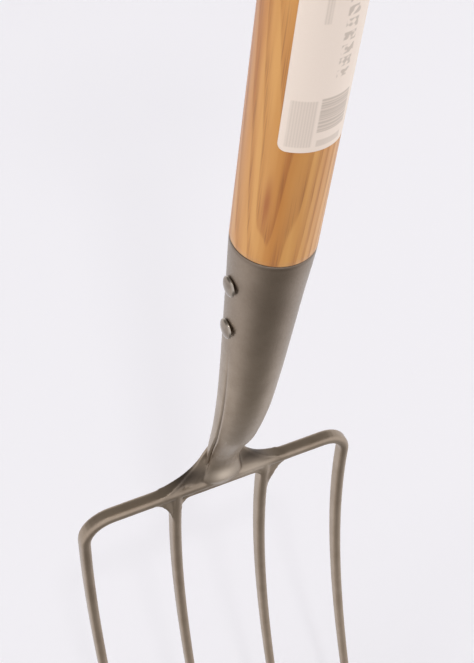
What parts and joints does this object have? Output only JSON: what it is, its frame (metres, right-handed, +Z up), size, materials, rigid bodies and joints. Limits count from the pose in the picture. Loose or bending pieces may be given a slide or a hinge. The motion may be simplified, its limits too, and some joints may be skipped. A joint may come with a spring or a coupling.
{
  "type": "digging fork",
  "caption": "Garden fork with slender forward-curved tines on a plain crossbar, a tapered steel socket riveted to an ash shaft, and a split D handle with a turned cross grip",
  "frame": {"origin": "the middle of the hand grip, on the shaft's axis", "axes": "+Z up the shaft, +X along the crossbar and the grip, +Y to the back; the tines curve forward to -Y"},
  "size_m": [0.182, 0.1297, 1.1001],
  "materials": {
    "forged_steel": "forged carbon steel, shot-blasted and clear-lacquered, warm grey",
    "plated_rivet": "bright nickel-plated rivet steel",
    "ash": "straight-grained ash, satin varnish",
    "ash_grip": "turned ash, satin varnish",
    "label_paper": "cream paper sticker with a thin matt film"
  },
  "bodies": {
    "root": {"fork_head": "forged_steel", "socket": "forged_steel", "socket_rivet_upper": "plated_rivet", "socket_rivet_lower": "plated_rivet", "shaft": "ash", "hand_grip": "ash_grip", "grip_rod": "plated_rivet", "grip_washer_left": "plated_rivet", "grip_washer_right": "plated_rivet", "crotch_rivet": "plated_rivet", "crotch_washer_left": "plated_rivet", "crotch_washer_right": "plated_rivet", "label": "label_paper"}
  },
  "joints": []
}
